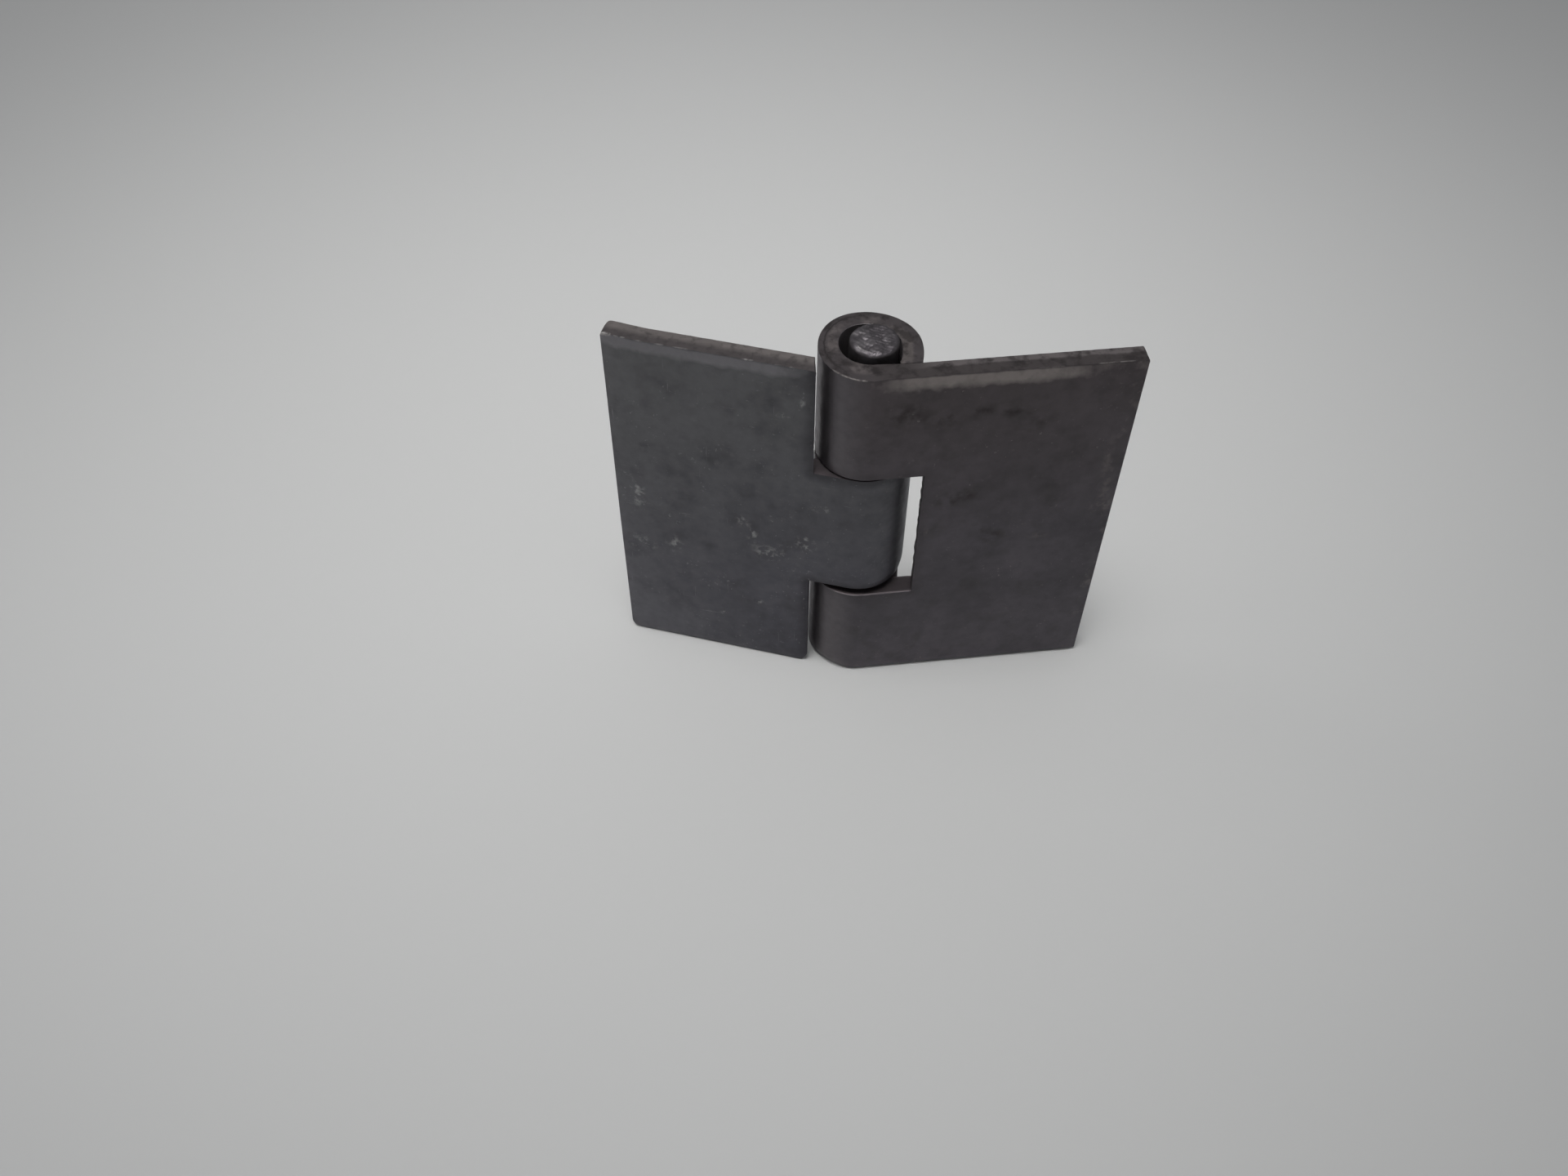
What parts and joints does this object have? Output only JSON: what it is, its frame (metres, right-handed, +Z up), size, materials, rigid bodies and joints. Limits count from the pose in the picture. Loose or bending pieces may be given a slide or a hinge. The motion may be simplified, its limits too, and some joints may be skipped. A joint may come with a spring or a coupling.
{
  "type": "leaf hinge",
  "caption": "Plain weld-on leaf hinge of dark raw steel: flat leaves rolled into knuckles round a loose round pin, standing slightly folded.",
  "frame": {"origin": "on the knuckles' common axis, at the foot of the hinge, where the pin's lower end and the leaves' lower edges stand", "axes": "+Z up along the pin, +X along the fixed leaf towards its outer end, -Y out of the flat weld faces; the knuckles roll towards +Y"},
  "size_m": [0.0693, 0.0156, 0.0609],
  "materials": {
    "sheet_steel": "raw hot-rolled sheet with dark mill scale, sheared edges",
    "pin_steel": "raw round bar, ends cropped and hammered"
  },
  "bodies": {
    "fixed": {"fixed_leaf": "sheet_steel", "hinge_pin": "pin_steel"},
    "swing": {"swing_leaf": "sheet_steel"}
  },
  "joints": [
    {"name": "leaf_swing", "type": "hinge", "parent": "fixed", "child": "swing", "pos_m": [0, 0, 0], "axis": [0, 0, 1], "range_deg": [-170, 99]}
  ]
}
